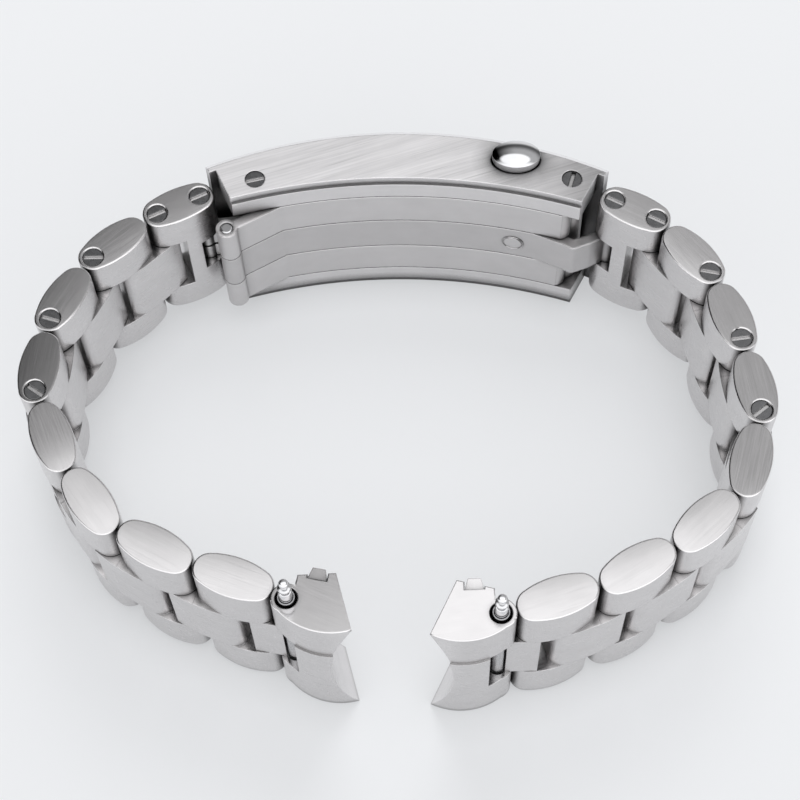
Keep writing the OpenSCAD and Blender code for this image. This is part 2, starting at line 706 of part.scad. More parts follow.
module end_link(side) {
    i = link_count + 1;
    color([0.72, 0.73, 0.75]) chain_frame(side, i) difference() {
        union() {
            for (f = [0, 1]) translate([0, 0, mid_z]) mirror([0, 0, f]) translate([0, 0, centre_w / 2]) {
                linear_extrude((lug_w - centre_w) / 2) end_side_outline();
                linear_extrude((lug_w - centre_w) / 2 - key_sunk) key_outline();
            }
            slab(centre_w / 2) {
                end_centre_outline();
                translate([wide_from, -near_t / 2]) square([tongue_far, near_t]);
            }
            slab(centre_w / 2 - row_gap)
                translate([-near_l, -near_t / 2]) square([near_l + wide_from + eps, near_t]);
        }
        translate([horn_l, case_out_y, mid_z]) rotate(-atan(case_lean)) translate([case_depth, 0, 0])
            rotate([90, 0, 0]) cylinder(h = 30, r = case_r, center = true, $fn = 180);
        hole(pin_d + 2 * turn_gap, 0, cover_w);
        translate([bar_x, bar_y, 0]) hole(bar_hole_d, -1, cover_w + 1);
    }
}

module bar_frame(side) {
    chain_frame(side, link_count + 1) translate([bar_x, bar_y, bar_z]) children();
}

module bar_tube(side) {
    color([0.55, 0.55, 0.57]) bar_frame(side) difference() {
        hole(bar_d, -bar_half, bar_half);
        hole(bar_bore_d, -bar_half - 1, bar_half + 1);
    }
}

// Spring between the stems of the two noses
module bar_spring(side) {
    half = bar_half - stem_l - spring_wire - held_gap;
    color([0.65, 0.65, 0.68]) bar_frame(side) translate([0, 0, -half])
        coil(bar_bore_d / 2 - spring_wire - turn_gap, 2 * half, 16, spring_wire);
}

// Sprung nose: a stem in the tube, a collar between two necks and the knob that enters the lug
module nose(side, flip) {
    collar_z = lug_w / 2 + neck_l;
    knob_z = collar_z + collar_t + neck_l;
    color([0.88, 0.88, 0.89]) bar_frame(side) mirror([0, 0, flip]) {
        hole(bar_bore_d - 2 * turn_gap, bar_half - stem_l, bar_half);
        hole(neck_w, bar_half - eps, knob_z + eps);
        hole(collar_d, collar_z, collar_z + collar_t);
        hole(knob_d, knob_z, knob_z + knob_l - knob_bevel + eps);
        translate([0, 0, knob_z + knob_l - knob_bevel])
            cylinder(h = knob_bevel, d1 = knob_d, d2 = knob_d - 2 * knob_bevel);
    }
}

clasp_cover();
catch_frame();
cover_screw(tongue_x, tongue_y, 15);  // tongue_screw
cover_screw(pivot_x, pivot_y, 75);  // pivot_screw
button(0);  // button_upper
button(1);  // button_lower
button_spring(0);  // button_spring_upper
button_spring(1);  // button_spring_lower
fork_blade();
fold_pin();
centre_blade();
catch_stud();
tongue();
clasp_link(-1);  // left_clasp_link
pin(-1, 0, 0);  // left_near_screw
pin(-1, 0, clasp_link_pitch);  // left_far_screw
link(-1, 1);  // left_link_a
link(-1, 2);  // left_link_b
link(-1, 3);  // left_link_c
link(-1, 4);  // left_link_d
link(-1, 5);  // left_link_e
link(-1, 6);  // left_link_f
link(-1, 7);  // left_link_g
pin(-1, 1, pitch);  // left_pin_a
pin(-1, 2, pitch);  // left_pin_b
pin(-1, 3, pitch);  // left_pin_c
pin(-1, 4, pitch);  // left_pin_d
pin(-1, 5, pitch);  // left_pin_e
pin(-1, 6, pitch);  // left_pin_f
pin(-1, 7, pitch);  // left_pin_g
end_link(-1);  // left_end_link
bar_tube(-1);  // left_bar_tube
bar_spring(-1);  // left_bar_spring
nose(-1, 0);  // left_nose_upper
nose(-1, 1);  // left_nose_lower
clasp_link(1);  // right_clasp_link
pin(1, 0, 0);  // right_near_screw
pin(1, 0, clasp_link_pitch);  // right_far_screw
link(1, 1);  // right_link_a
link(1, 2);  // right_link_b
link(1, 3);  // right_link_c
link(1, 4);  // right_link_d
link(1, 5);  // right_link_e
link(1, 6);  // right_link_f
link(1, 7);  // right_link_g
pin(1, 1, pitch);  // right_pin_a
pin(1, 2, pitch);  // right_pin_b
pin(1, 3, pitch);  // right_pin_c
pin(1, 4, pitch);  // right_pin_d
pin(1, 5, pitch);  // right_pin_e
pin(1, 6, pitch);  // right_pin_f
pin(1, 7, pitch);  // right_pin_g
end_link(1);  // right_end_link
bar_tube(1);  // right_bar_tube
bar_spring(1);  // right_bar_spring
nose(1, 0);  // right_nose_upper
nose(1, 1);  // right_nose_lower
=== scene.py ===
# %% [markdown]
# # A steel watch bracelet, dressed for the camera
#
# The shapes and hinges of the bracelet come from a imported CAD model. This script gives every piece its
# finish: it rounds the edges a little, makes the brushed, turned and polished steel, and sets up a pale
# floor, soft light and a camera. Nothing is moved, because each piece already sits where it belongs.

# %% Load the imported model
import json
import math

import bmesh
import bpy
import numpy as np
from mathutils import Matrix, Vector

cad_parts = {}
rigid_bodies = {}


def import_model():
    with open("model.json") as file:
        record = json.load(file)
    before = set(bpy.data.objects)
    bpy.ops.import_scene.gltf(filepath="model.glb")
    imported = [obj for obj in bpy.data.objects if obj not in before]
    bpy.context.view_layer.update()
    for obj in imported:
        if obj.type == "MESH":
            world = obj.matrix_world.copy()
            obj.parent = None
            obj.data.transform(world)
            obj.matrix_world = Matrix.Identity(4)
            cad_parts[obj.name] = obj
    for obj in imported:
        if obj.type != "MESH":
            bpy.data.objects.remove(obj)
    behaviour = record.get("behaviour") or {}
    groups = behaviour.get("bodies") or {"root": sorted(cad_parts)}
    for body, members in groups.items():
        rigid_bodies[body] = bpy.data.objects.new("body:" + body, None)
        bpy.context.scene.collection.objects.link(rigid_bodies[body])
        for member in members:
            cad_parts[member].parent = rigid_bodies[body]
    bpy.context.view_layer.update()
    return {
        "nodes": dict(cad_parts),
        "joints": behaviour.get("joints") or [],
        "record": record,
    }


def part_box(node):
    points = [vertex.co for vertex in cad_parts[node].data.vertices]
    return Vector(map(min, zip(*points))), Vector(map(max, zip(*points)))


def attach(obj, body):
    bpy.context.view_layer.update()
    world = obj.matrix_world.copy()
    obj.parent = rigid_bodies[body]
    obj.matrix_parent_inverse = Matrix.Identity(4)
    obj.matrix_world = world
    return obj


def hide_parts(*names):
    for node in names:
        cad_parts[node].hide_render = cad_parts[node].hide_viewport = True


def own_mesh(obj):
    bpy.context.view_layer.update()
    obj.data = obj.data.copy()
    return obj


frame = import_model()
nodes = frame["nodes"]
body_of_node = {n: b for b, ns in frame["record"]["behaviour"]["bodies"].items() for n in ns}
MM = 0.001

# %% [markdown]
# ## Camera
#
# A photograph is matched by four numbers: how high the camera stands, how far away it is, how long its
# lens is and what it looks at. Here the camera is close, about 18 cm, so the end links in front look
# clearly larger than the clasp. The small roll is the tilt with which the picture was taken.

# %% Camera
LOOK_AT = Vector((0.556, -3.487, 21.5)) * MM
DISTANCE = 179.261 * MM
ELEVATION, AZIMUTH, ROLL = (math.radians(v) for v in (63.0, 3.248, -2.168))
SENSOR, LENS = 36, 85.5


def camera_axes(elevation, azimuth, roll):
    """Right, up and backward axes of a camera that looks down at an elevation from an azimuth, then rolls."""
    level = math.cos(elevation)
    back = Vector((math.sin(azimuth) * level, -math.cos(azimuth) * level, math.sin(elevation)))
    right = Vector((math.cos(azimuth), math.sin(azimuth), 0))
    up = back.cross(right)
    return (math.cos(roll) * right + math.sin(roll) * up, math.cos(roll) * up - math.sin(roll) * right, back)


right, up, back = camera_axes(ELEVATION, AZIMUTH, ROLL)
camera_data = bpy.data.cameras.new("camera")
camera_data.sensor_width, camera_data.lens = SENSOR, LENS
camera_data.clip_start, camera_data.clip_end = 0.005, 20
camera = bpy.data.objects.new("camera", camera_data)
bpy.context.scene.collection.objects.link(camera)
turn = Matrix((right, up, back)).transposed().to_4x4()
camera.matrix_world = Matrix.Translation(LOOK_AT + back * DISTANCE) @ turn
bpy.context.scene.camera = camera
bpy.context.scene.view_settings.view_transform = "Standard"
print("camera stands", round(camera.location.z / MM), "mm above the base plane")

# %% [markdown]
# ## Node helpers
#
# Materials are small networks of nodes. A few helpers keep them readable. They make a node and set its
# plain values, do one sum, or make a shader node group, which is a reusable effect with named inputs
# and outputs.

# %% Node helpers


def fill(tree, socket, value):
    """Sets an input to a plain value, or links it where the value is another node's output."""
    if isinstance(value, bpy.types.NodeSocket):
        tree.links.new(value, socket)
    else:
        socket.default_value = value


def add(tree, kind, operation=None, **values):
    """One node in a tree. Its inputs are named, with _ for a space, or numbered as i0, i1 and so on."""
    made = tree.nodes.new("ShaderNode" + kind)
    if operation:
        made.operation = operation
    for key, value in values.items():
        numbered = key[0] == "i" and key[1:].isdigit()
        fill(tree, made.inputs[int(key[1:]) if numbered else key.replace("_", " ")], value)
    return made


def calc(tree, operation, *values, clamp=False):
    """The output of a Math node."""
    made = add(tree, "Math", operation, **{f"i{k}": v for k, v in enumerate(values)})
    made.use_clamp = clamp
    return made.outputs[0]


def centred(tree, noise):
    """A noise that runs from 0 to 1, shifted to run from -0.5 to 0.5."""
    return calc(tree, "SUBTRACT", noise, 0.5)


def new_group(name, inputs, outputs):
    """An empty shader node group with its sockets. Inputs are (name, kind, plain value)."""
    tree = bpy.data.node_groups.new(name, "ShaderNodeTree")
    for label, kind, plain in inputs:
        socket = tree.interface.new_socket(label, in_out="INPUT", socket_type="NodeSocket" + kind)
        if plain is not None:
            socket.default_value = plain
    for label, kind in outputs:
        tree.interface.new_socket(label, in_out="OUTPUT", socket_type="NodeSocket" + kind)
    return tree, tree.nodes.new("NodeGroupInput").outputs, tree.nodes.new("NodeGroupOutput").inputs


def use_group(tree, group, **values):
    """A group placed in a material."""
    made = tree.nodes.new("ShaderNodeGroup")
    made.node_tree = group
    for key, value in values.items():
        fill(tree, made.inputs[key.replace("_", " ")], value)
    return made.outputs


# %% [markdown]
# ## Brushed grain
#
# Brushed steel has been drawn over an abrasive belt. What is left are very many shallow, parallel
# scratches of uneven depth. A noise that is stretched ten to twenty times along one direction gives
# them; a second, wider one gives the soft bands between strokes, and a few rare deep lines break the
# evenness. All of them work in millimetres, with x along the brushing.

# %% Brushed grain group
RARE_ABOVE, RARE_STEEPNESS = 0.66, 14.0  # where in its noise a deep line begins, and how sharply
STROKES, CLOUDS = 0.8, 0.12  # how much the wide strokes and the soft clouds add to the fine scratches
RIM_PAINTED_HIGHLIGHT, RIM_POLISH = 0.25, -0.65  # a polished rim is far smoother, and its brighter colour is a painted highlight
brushed, gi, go = new_group(
    "brushed_grain",
    [("Position", "Vector", None), ("Steel", "Color", (0.64, 0.635, 0.635, 1)), ("Face", "Float", 1.0),
     ("Rim", "Float", 0.0), ("Length", "Float", 0.35), ("Width", "Float", 7.0), ("Contrast", "Float", 0.2),
     ("Depth", "Float", 0.001), ("Rough face", "Float", 0.3), ("Rough wall", "Float", 0.4),
     ("Seed", "Float", 0.0)],
    [("Color", "Color"), ("Roughness", "Float"), ("Height", "Float")],
)


def stretched_noise(tree, position, along, across, seed, detail):
    """Noise whose pattern is long in x and narrow in y and z."""
    scale = add(tree, "CombineXYZ", X=along, Y=across, Z=across).outputs[0]
    placed = add(tree, "VectorMath", "MULTIPLY", i0=position, i1=scale).outputs[0]
    shift = add(tree, "CombineXYZ", X=seed, Y=seed, Z=seed).outputs[0]
    moved = add(tree, "VectorMath", "ADD", i0=placed, i1=shift).outputs[0]
    return add(tree, "TexNoise", Vector=moved, Scale=1.0, Detail=detail, Roughness=0.6).outputs["Fac"]


def grain_layer(length_share, width_share, seed_step, detail):
    """A stretched noise whose length and width are shares of the group's own, moved by a seed of its own."""
    along = calc(brushed, "MULTIPLY", gi["Length"], length_share)
    across = calc(brushed, "MULTIPLY", gi["Width"], width_share)
    seed = calc(brushed, "ADD", gi["Seed"], seed_step)
    return stretched_noise(brushed, gi["Position"], along, across, seed, detail)


fine = stretched_noise(brushed, gi["Position"], gi["Length"], gi["Width"], gi["Seed"], 3.0)
wide = grain_layer(0.4, 0.16, 31.0, 2.0)
deep = grain_layer(0.7, 1.5, 83.0, 1.0)
cloud = stretched_noise(brushed, gi["Position"], 0.35, 0.5, calc(brushed, "ADD", gi["Seed"], 57.0), 2.0)
rare = calc(brushed, "MULTIPLY", calc(brushed, "SUBTRACT", deep, RARE_ABOVE), RARE_STEEPNESS, clamp=True)
swing = calc(brushed, "ADD", centred(brushed, fine), calc(brushed, "MULTIPLY", centred(brushed, wide), STROKES))
share = calc(brushed, "MULTIPLY", gi["Contrast"], calc(brushed, "MULTIPLY_ADD", gi["Face"], 0.8, 0.2))
tone = calc(brushed, "MULTIPLY_ADD", swing, share, 1.0)
tone = calc(brushed, "SUBTRACT", tone, calc(brushed, "MULTIPLY", rare, calc(brushed, "MULTIPLY", share, 0.5)))
tone = calc(brushed, "ADD", tone, calc(brushed, "MULTIPLY", centred(brushed, cloud), CLOUDS))
# painted highlight: the rim's tone is raised, so its colour is brighter
tone = calc(brushed, "ADD", tone, calc(brushed, "MULTIPLY", gi["Rim"], RIM_PAINTED_HIGHLIGHT))
tinted = add(brushed, "VectorMath", "SCALE", i0=gi["Steel"], Scale=tone)
brushed.links.new(tinted.outputs[0], go["Color"])
face_over_wall = calc(brushed, "SUBTRACT", gi["Rough face"], gi["Rough wall"])
rough = calc(brushed, "ADD", gi["Rough wall"], calc(brushed, "MULTIPLY", gi["Face"], face_over_wall))
rough = calc(brushed, "MULTIPLY_ADD", centred(brushed, fine), 0.25, rough)
smoother = calc(brushed, "MULTIPLY_ADD", gi["Rim"], RIM_POLISH, 1.0)
brushed.links.new(calc(brushed, "MULTIPLY", rough, smoother, clamp=True), go["Roughness"])
depth = calc(brushed, "MULTIPLY", gi["Depth"], calc(brushed, "MULTIPLY_ADD", gi["Face"], 0.75, 0.25))
brushed.links.new(calc(brushed, "MULTIPLY", calc(brushed, "SUBTRACT", swing, rare), depth), go["Height"])

# %% [markdown]
# ## Turned and polished faces
#
# Screw heads and pins are cut on a lathe, so their marks are rings round the axis. Polished pieces have
# no direction at all: what breaks their mirror is a little haze and some hairlines from wear.

# %% Turned rings and polish groups
turned, gi, go = new_group(
    "turned_rings",
    [("Position", "Vector", None), ("Steel", "Color", (0.4, 0.4, 0.41, 1)), ("Rings", "Float", 9.0),
     ("Contrast", "Float", 0.25), ("Depth", "Float", 0.001), ("Rough", "Float", 0.3)],
    [("Color", "Color"), ("Roughness", "Float"), ("Height", "Float")],
)
flat = add(turned, "VectorMath", "MULTIPLY", i0=gi["Position"], i1=(1, 1, 0)).outputs[0]
radius = add(turned, "VectorMath", "LENGTH", i0=flat).outputs["Value"]
ring_at = add(turned, "CombineXYZ", X=calc(turned, "MULTIPLY", radius, gi["Rings"]), Y=0.0, Z=0.0).outputs[0]
rings = add(turned, "TexNoise", Vector=ring_at, Scale=1.0, Detail=2.0, Roughness=0.6).outputs["Fac"]
stain = add(turned, "TexNoise", Vector=gi["Position"], Scale=1.7, Detail=4.0, Roughness=0.6).outputs["Fac"]
uneven = calc(turned, "ADD", centred(turned, rings), centred(turned, stain))
tone = calc(turned, "MULTIPLY_ADD", uneven, gi["Contrast"], 1.0)
turned.links.new(add(turned, "VectorMath", "SCALE", i0=gi["Steel"], Scale=tone).outputs[0], go["Color"])
rough = calc(turned, "MULTIPLY_ADD", centred(turned, stain), 0.3, gi["Rough"], clamp=True)
turned.links.new(rough, go["Roughness"])
turned.links.new(calc(turned, "MULTIPLY", centred(turned, rings), gi["Depth"]), go["Height"])

HAIR_ABOVE, HAIR_STEEPNESS, HAIR_DEPTH = 0.64, 12.0, -0.0006
polish, gi, go = new_group(
    "polish",
    [("Position", "Vector", None), ("Steel", "Color", (0.7, 0.7, 0.71, 1)), ("Haze", "Float", 0.12)],
    [("Color", "Color"), ("Roughness", "Float"), ("Height", "Float")],
)
haze = add(polish, "TexNoise", Vector=gi["Position"], Scale=0.9, Detail=5.0, Roughness=0.65).outputs["Fac"]
drawn_out = add(polish, "VectorMath", "MULTIPLY", i0=gi["Position"], i1=(2.0, 17.0, 5.0)).outputs[0]
lines = add(polish, "TexNoise", Vector=drawn_out, Scale=1.0, Detail=2.0, Roughness=0.7).outputs["Fac"]
hair = calc(polish, "MULTIPLY", calc(polish, "SUBTRACT", lines, HAIR_ABOVE), HAIR_STEEPNESS, clamp=True)
tone = calc(polish, "MULTIPLY_ADD", centred(polish, haze), 0.16, 1.0)
polish.links.new(add(polish, "VectorMath", "SCALE", i0=gi["Steel"], Scale=tone).outputs[0], go["Color"])
rough = calc(polish, "ADD", calc(polish, "MULTIPLY", haze, gi["Haze"]), calc(polish, "MULTIPLY", hair, 0.12))
polish.links.new(rough, go["Roughness"])
polish.links.new(calc(polish, "MULTIPLY", hair, HAIR_DEPTH), go["Height"])

# %% [markdown]
# ## Crowned faces
#
# A hand-finished side face is never flat. It falls away a little towards its rim, and that slope, far
# too small to see as a shape, is what makes the light run across it. The group gives a height of
# minus rise times the squared distance from the middle, which the Bump node turns into that slope. Its
# twist is for the long cover, whose side face turns away a little more toward the right end.

# %% Crown group
crown, gi, go = new_group(
    "crown",
    [("Position", "Vector", None), ("Half length", "Float", 4.5), ("Half width", "Float", 2.0),
     ("Rise", "Float", 0.05), ("Twist", "Float", 0.0)],
    [("Height", "Float")],
)
parts = add(crown, "SeparateXYZ", Vector=gi["Position"]).outputs
u = calc(crown, "POWER", calc(crown, "DIVIDE", calc(crown, "ABSOLUTE", parts["X"]), gi["Half length"]), 3.0)
v = calc(crown, "POWER", calc(crown, "DIVIDE", calc(crown, "ABSOLUTE", parts["Y"]), gi["Half width"]), 2.0)
domed = calc(crown, "MULTIPLY", calc(crown, "ADD", u, v), calc(crown, "MULTIPLY", gi["Rise"], -1.0))
far_right = calc(crown, "POWER", calc(crown, "MAXIMUM", parts["X"], 0.0), 2.0)
twisted = calc(crown, "MULTIPLY", calc(crown, "MULTIPLY", far_right, parts["Y"]), gi["Twist"])
crown.links.new(calc(crown, "SUBTRACT", domed, twisted), go["Height"])
print("groups:", [g.name for g in bpy.data.node_groups])

# %% [markdown]
# ## The steel material
#
# Each link has its own material, made in a loop, because the brushing follows the link. A Mapping node
# turns the object's coordinates until x runs along the link, and the same direction, carried to world
# space, is the Principled shader's tangent, along which anisotropic gloss is stretched. A link turns
# with its hinge, so the direction is written in the object's own coordinates.
#
# Two more nodes look at the shape itself. Bevel turns the normal near an edge as if the edge were
# rounded, and tells the side face, the rim and the walls apart. Ambient Occlusion finds the gaps
# between pieces and darkens them: a painted shade for the shadow in a gap, with some grease and dirt.

# %% Steel material
CLEAN = (0.668, 0.655, 0.657, 1)
FACE_FROM, FACE_FULL = 0.8, 0.97  # how upright a normal is where the side face begins, and on all of it
RIM_FROM, RIM_FULL = 0.15, 0.45  # the same for the rim between the side face and the walls


def local_position(tree, centre, direction):
    """Object coordinates in millimetres, measured from a centre, with x along a direction in plan."""
    angle = math.atan2(direction[1], direction[0])
    middle = Matrix.Rotation(-angle, 3, "Z") @ Vector(centre)
    place = add(tree, "Mapping", Vector=add(tree, "TexCoord").outputs["Object"])
    place.inputs["Location"].default_value = -middle / MM
    place.inputs["Rotation"].default_value = (0, 0, -angle)
    place.inputs["Scale"].default_value = (1 / MM,) * 3
    return place.outputs[0]


def principled(name, anisotropic=0.0):
    """A material with a metal Principled shader, and its tree."""
    material = bpy.data.materials.new(name)
    material.use_nodes = True
    tree = material.node_tree
    shader = tree.nodes["Principled BSDF"]
    shader.inputs["Metallic"].default_value = 1.0
    shader.inputs["Anisotropic"].default_value = anisotropic
    shader.inputs["Anisotropic Rotation"].default_value = 0.25
    return material, tree, shader


def soft_edges(tree, rounding):
    """The surface normal, turned near each edge as if the edge were rounded by that many millimetres."""
    made = add(tree, "Bevel", Radius=rounding * MM)
    made.samples = 4
    return made.outputs[0]


def finish_links(tree, shader, out, height, gap_shade_and_dirt=0.65, gap_shade_reach=0.6, rounded=None, depth_of_gap=2.2):
    """Colour, roughness and bump from a group's outputs to the shader. Heights are in millimetres. Where other
    steel is closer than the given reach, the colour goes down by up to the given share: a painted shade in gaps,
    with some grease and dirt."""
    # painted shade: ambient occlusion darkens the colour where other steel is near, for the shadow in gaps, with
    # some grease
    open_sky = add(tree, "AmbientOcclusion", Distance=gap_shade_reach * MM)
    open_sky.samples = 6
    opened = calc(tree, "POWER", open_sky.outputs["AO"], depth_of_gap)
    clear = calc(tree, "MULTIPLY_ADD", opened, gap_shade_and_dirt, 1.0 - gap_shade_and_dirt)
    gap_shaded = add(tree, "VectorMath", "SCALE", i0=out["Color"], Scale=clear)
    tree.links.new(gap_shaded.outputs[0], shader.inputs["Base Color"])
    tree.links.new(out["Roughness"], shader.inputs["Roughness"])
    rounded = rounded or soft_edges(tree, 0.06)
    bump = add(tree, "Bump", Height=height, Distance=MM, Strength=1.0, Normal=rounded)
    tree.links.new(bump.outputs[0], shader.inputs["Normal"])


def brushed_steel(name, centre, direction, steel=CLEAN, contrast=0.1, depth=0.0008, face=0.2, wall=0.3,
                  length=0.22, width=10.0, anisotropic=0.35, seed=0.0, half=(4.6, 2.0), rise=0.04, lean=0.0,
                  twist=0.0, gap_shade_and_dirt=0.75, gap_shade_reach=0.9, rounding=0.1, depth_of_gap=2.2):
    """Steel brushed along a direction in plan, with a polished rim that carries a painted highlight, and a
    slightly crowned side face. lean is the slope, towards the clasp, with which the side face was ground out of
    true."""
    material, tree, shader = principled(name, anisotropic)
    position = local_position(tree, centre, direction)
    rounded = soft_edges(tree, rounding)
    upright = add(tree, "SeparateXYZ", Vector=rounded).outputs["Z"]
    steep = calc(tree, "ABSOLUTE", upright)
    is_face = add(tree, "MapRange", Value=steep, From_Min=FACE_FROM, From_Max=FACE_FULL).outputs[0]
    off_wall = add(tree, "MapRange", Value=steep, From_Min=RIM_FROM, From_Max=RIM_FULL).outputs[0]
    is_rim = calc(tree, "MULTIPLY", off_wall, calc(tree, "SUBTRACT", 1.0, is_face))
    out = use_group(tree, brushed, Position=position, Steel=steel, Face=is_face, Rim=is_rim, Length=length,
                    Width=width, Contrast=contrast, Depth=depth, Rough_face=face, Rough_wall=wall, Seed=seed)
    domed = use_group(tree, crown, Position=position, Half_length=half[0], Half_width=half[1], Rise=rise,
                      Twist=twist)
    plan = Vector((direction[0], direction[1], 0)).normalized()
    slope = add(tree, "VectorMath", "DOT_PRODUCT", i0=position, i1=(plan.y * lean, plan.x * lean, 0))
    ground = calc(tree, "ADD", domed["Height"], slope.outputs["Value"])
    height = calc(tree, "ADD", out["Height"], calc(tree, "MULTIPLY", ground, is_face))
    finish_links(tree, shader, out, height, gap_shade_and_dirt, gap_shade_reach, rounded, depth_of_gap)
    tangent = add(tree, "VectorTransform", Vector=tuple(plan))
    tangent.vector_type, tangent.convert_from, tangent.convert_to = "VECTOR", "OBJECT", "WORLD"
    tree.links.new(tangent.outputs[0], shader.inputs["Tangent"])
    return material


SLOT_FLOOR = (0.75, 0.74, 0.74, 1)


def turned_steel(name, centre, steel, rough=0.28, rings=9.0, contrast=0.3, face_at=None):
    """Steel cut on a lathe, with rings round an upright axis through a centre. Below face_at, the distance from
    the middle to the outer face in millimetres, the colour is the lighter one of a slot's floor instead of the
    given steel."""
    material, tree, shader = principled(name)
    position = local_position(tree, centre, (1, 0))
    made = use_group(tree, turned, Position=position, Steel=steel, Rough=rough, Rings=rings, Contrast=contrast)
    out = dict(made.items())
    if face_at:
        away = calc(tree, "ABSOLUTE", add(tree, "SeparateXYZ", Vector=position).outputs["Z"])
        sunk = calc(tree, "MULTIPLY", calc(tree, "SUBTRACT", face_at - 0.04, away), 30.0, clamp=True)
        mixed = add(tree, "Mix", i0=sunk, i6=out["Color"], i7=SLOT_FLOOR)
        mixed.data_type = "RGBA"
        out["Color"] = mixed.outputs[2]
    finish_links(tree, shader, out, out["Height"], gap_shade_and_dirt=0.4, gap_shade_reach=0.3)
    return material


def polished_steel(name, steel=(0.72, 0.72, 0.73, 1), haze=0.14):
    """Mirror steel with haze and hairlines."""
    material, tree, shader = principled(name)
    out = use_group(tree, polish, Position=local_position(tree, (0, 0, 0), (1, 0)), Steel=steel, Haze=haze)
    finish_links(tree, shader, out, out["Height"], gap_shade_and_dirt=0.6, gap_shade_reach=0.4)
    return material


# %% [markdown]
# ## Rounding the edges
#
# A steel edge is never sharp: even a crisp one is broken by a tenth of a millimetre, and that narrow
# band catches the light as a bright line. It is the main thing that makes a link look machined. The
# CAD mesh is loose triangles, so a copy is joined first: equal corners become one with numpy, triangles
# in one plane become one face, and then a Bevel modifier can round what is left.

# %% Joined copies with a bevel
SHARP = 28  # degrees between two faces from which their edge is a real one

def joined_copy(node, name):
    """A copy of a CAD node's mesh. Corners at the same place are one point, and flat faces are whole."""
    source = nodes[node].data
    points = np.zeros(len(source.vertices) * 3, np.float32)
    source.vertices.foreach_get("co", points)
    source.calc_loop_triangles()
    corners = np.zeros(len(source.loop_triangles) * 3, np.int32)
    source.loop_triangles.foreach_get("vertices", corners)
    grid = np.round(points.reshape(-1, 3).astype(float) / 1e-7).astype(np.int64)
    _, first, index = np.unique(grid, axis=0, return_index=True, return_inverse=True)
    faces = index.reshape(-1)[corners].reshape(-1, 3)
    whole = (faces[:, 0] != faces[:, 1]) & (faces[:, 1] != faces[:, 2]) & (faces[:, 2] != faces[:, 0])
    mesh = bpy.data.meshes.new(name)
    mesh.from_pydata(points.reshape(-1, 3)[first].tolist(), [], faces[whole].tolist())
    flat_faces = bmesh.new()
    flat_faces.from_mesh(mesh)
    bmesh.ops.dissolve_limit(flat_faces, angle_limit=math.radians(0.6), verts=flat_faces.verts,
                             edges=flat_faces.edges)
    flat_faces.to_mesh(mesh)
    flat_faces.free()
    return mesh


def mark_rims(mesh):
    """Gives a bevel weight of 1 to the edges round the flat faces at the very top and bottom of a mesh, and 0
    to the rest."""
    worked = bmesh.new()
    worked.from_mesh(mesh)
    weight = worked.edges.layers.float.new("bevel_weight_edge")
    heights = [v.co.z for v in worked.verts]
    ends = (min(heights), max(heights))
    for edge in worked.edges:
        steep = sorted(abs(f.normal.z) for f in edge.link_faces)
        level = min(abs(v.co.z - end) for end in ends for v in edge.verts)
        edge[weight] = float(len(steep) == 2 and steep[0] < 0.5 and steep[1] > 0.99 and level < 0.02 * MM)
    worked.to_mesh(mesh)
    worked.free()


def dress(node, material, rim, reshape=None, only_rims=False):
    """A finished copy of a CAD node: bevelled by rim millimetres, smooth except at real edges, riding on the
    node's body."""
    mesh = joined_copy(node, node + "_finished")
    if only_rims:
        mark_rims(mesh)
    if reshape:
        points = np.zeros(len(mesh.vertices) * 3)
        mesh.vertices.foreach_get("co", points)
        mesh.vertices.foreach_set("co", reshape(points.reshape(-1, 3)).reshape(-1))
        mesh.update()
    mesh.shade_smooth()
    mesh.set_sharp_from_angle(angle=math.radians(SHARP))
    piece = bpy.data.objects.new(node + "_finished", mesh)
    bpy.context.scene.collection.objects.link(piece)
    mesh.materials.append(material)
    bevel = piece.modifiers.new("broken edges", "BEVEL")
    bevel.width = rim * MM
    bevel.segments = 2
    bevel.limit_method = "WEIGHT" if only_rims else "ANGLE"
    bevel.angle_limit = math.radians(SHARP)
    bevel.use_clamp_overlap = not only_rims
    bevel.harden_normals = True
    bevel.miter_outer = "MITER_ARC"
    nodes[node].data.materials.clear()
    nodes[node].data.materials.append(material)
    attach(piece, body_of_node[node])
    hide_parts(node)
    return piece


# %% [markdown]
# ## The chain
#
# Seven links, a clasp link and an end link make each half. A link's own direction runs from the hinge
# that carries it to the hinge that it carries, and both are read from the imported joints. Each side face
# was ground by hand, so a few are a little out of true and show another tone. Three links look more
# worn than the rest, and their grain is stronger.

# %% Directions of the links
hinges = [j for j in frame["joints"] if j["type"] == "hinge"]
held_at = {j["child"]: Vector(j["pos_m"]) for j in hinges}
holds_at = {}
for joint in hinges:
    holds_at.setdefault(joint["parent"], Vector(joint["pos_m"]))


def box_middle(node):
    """The middle of a node's box."""
    low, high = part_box(node)
    return (low + high) / 2


half_chain = ["clasp_link"] + [f"link_{letter}" for letter in "abcdefg"]
chain = [f"{side}_{name}" for side in ("left", "right") for name in half_chain]
along = {name: (holds_at[name] - held_at[name]).normalized() for name in chain}
for side in ("left", "right"):
    along[side + "_end"] = (box_middle(side + "_end_link") - held_at[side + "_end"]).normalized()
pitch = (holds_at["left_link_a"] - held_at["left_link_a"]).length
print("a link is", round(pitch / MM, 2), "mm from hinge to hinge")

